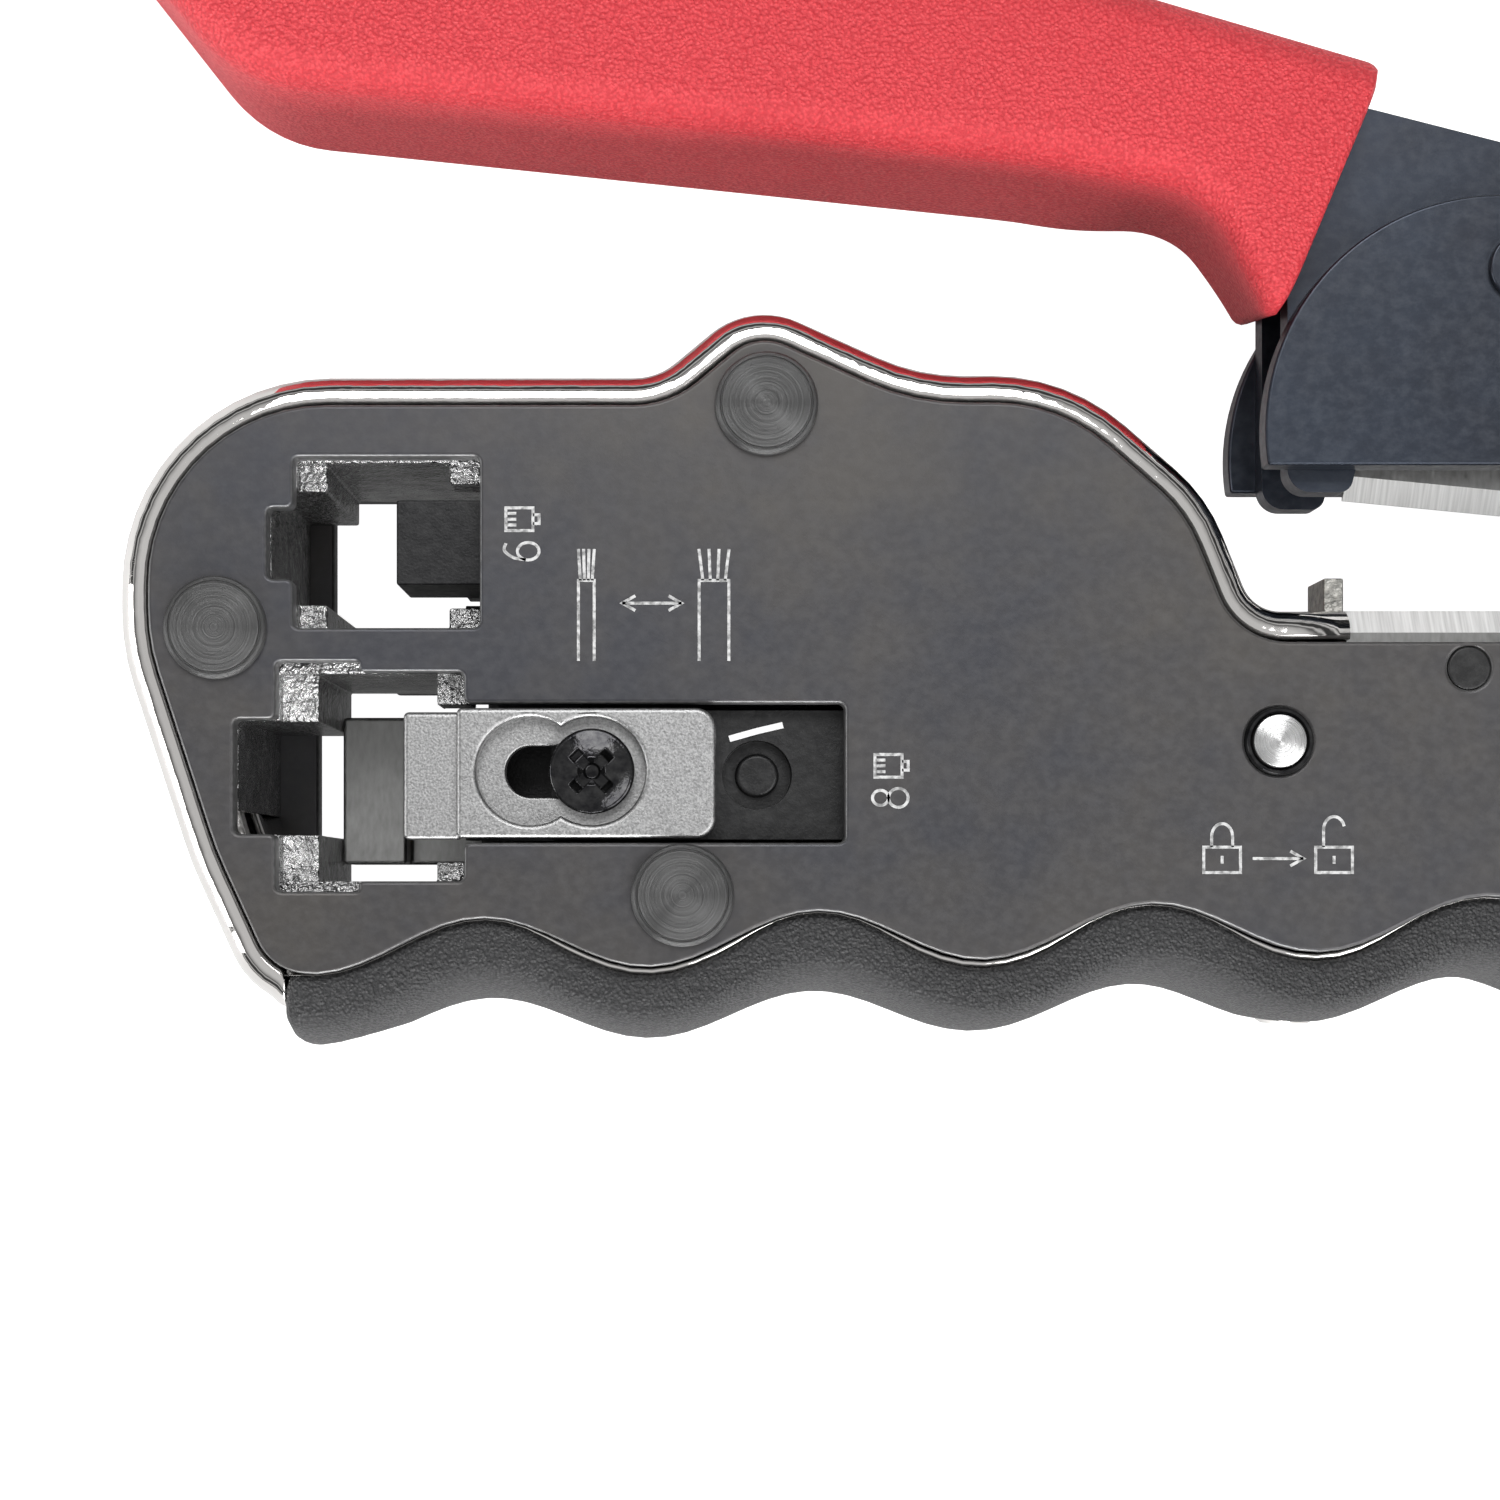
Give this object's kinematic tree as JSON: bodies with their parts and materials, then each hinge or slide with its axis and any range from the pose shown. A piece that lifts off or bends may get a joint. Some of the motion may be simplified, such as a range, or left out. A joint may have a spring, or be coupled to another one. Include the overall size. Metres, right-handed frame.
{
  "type": "modular plug crimping tool",
  "caption": "Compact hand crimping tool for modular network plugs, with two through ports, adjustable cable relief slider, side cable cutter and spring-return handle.",
  "frame": {"origin": "main pivot axis, on the plane of the rear rivet heads that the tool lies on", "axes": "+Z out of the front cover, -X from the pivot towards the plug ports, +Y from the body towards the handle"},
  "size_m": [0.1492, 0.0719, 0.021],
  "materials": {
    "satin_black_plate": "satin",
    "bright_chrome": "polished",
    "red_rubber": "fine grain",
    "grey_rubber": "fine grain",
    "blued_steel": "satin",
    "black_oxide": "satin",
    "plain_steel": "machined",
    "blade_steel": "ground",
    "blasted_steel": "bead blasted",
    "bearing_brass": "turned"
  },
  "bodies": {
    "body": {"front_cover": "satin_black_plate", "rear_cover": "satin_black_plate", "frame": "bright_chrome", "finger_grip": "grey_rubber", "grip_screws": "bright_chrome", "body_rivets": "black_oxide", "pivot_pin": "black_oxide", "pivot_washers": "bearing_brass", "lower_blade": "blade_steel", "lower_blade_holder": "plain_steel", "holder_pins": "black_oxide", "cable_stop": "plain_steel", "rocker_pin": "black_oxide", "ram_guides": "plain_steel", "spring_stop": "plain_steel", "spring_rod": "plain_steel", "return_spring": "plain_steel", "die_nest_8": "bright_chrome", "die_nest_6": "bright_chrome", "plug_stop": "blasted_steel", "lock_ring": "black_oxide", "lock_spring": "plain_steel"},
    "lever": {"pivot_bush": "bearing_brass", "lever_plate_front": "blued_steel", "lever_plate_rear": "blued_steel", "lever_core": "plain_steel", "tang_rivets": "plain_steel", "handle_grip": "red_rubber", "blade_guard_front": "blued_steel", "blade_guard_rear": "blued_steel", "guard_rivets": "blued_steel", "lever_spacers": "plain_steel", "upper_blade": "blade_steel", "upper_blade_holder": "blued_steel", "upper_blade_screws": "plain_steel", "roller_pin": "plain_steel"},
    "roller": {"input_roller": "plain_steel"},
    "rocker": {"rocker": "plain_steel"},
    "ram": {"ram": "black_oxide", "ram_pin": "black_oxide", "contact_punch_8": "plain_steel", "contact_punch_6": "plain_steel", "relief_punch_6": "black_oxide"},
    "adjuster": {"adjuster_plate": "blasted_steel"},
    "adjuster_screw": {"adjuster_screw": "black_oxide"},
    "lock_pin": {"lock_pin": "blade_steel"}
  },
  "joints": [
    {"name": "handle_close", "type": "hinge", "parent": "body", "child": "lever", "pos_m": [0, 0, 0.0105], "axis": [0, 0, 1], "range_deg": [0, 5.6], "stiffness_Nm_per_rad": 0.8, "springref_deg": -8.59},
    {"name": "rocker_turn", "type": "hinge", "parent": "body", "child": "rocker", "pos_m": [-0.0425, -0.005, 0.0105], "axis": [0, 0, 1], "range_deg": [-15.2, 0]},
    {"name": "ram_slide", "type": "slide", "parent": "body", "child": "ram", "axis": [-1, 0, 0], "range_m": [0, 0.0025], "deforming": ["return_spring"]},
    {"name": "roller_spin", "type": "hinge", "parent": "lever", "child": "roller", "pos_m": [-0.031, -0.0024, 0.0105], "axis": [0, 0, 1], "continuous": true},
    {"name": "adjuster_slide", "type": "slide", "parent": "ram", "child": "adjuster", "axis": [1, 0, 0], "range_m": [0, 0.0035]},
    {"name": "adjuster_screw_turn", "type": "hinge", "parent": "ram", "child": "adjuster_screw", "pos_m": [-0.1102, -0.0129, 0.0105], "axis": [0, 0, 1], "continuous": true},
    {"name": "lock_push", "type": "slide", "parent": "body", "child": "lock_pin", "axis": [0, 0, -1], "range_m": [0, 0.002], "stiffness_N_per_m": 300, "springref_m": -0.001, "deforming": ["lock_spring"]}
  ],
  "couplings": [
    {"joint": "rocker_turn", "follows": "handle_close", "ratio": -2.7},
    {"joint": "ram_slide", "follows": "handle_close", "m_per_rad": 0.0255}
  ]
}
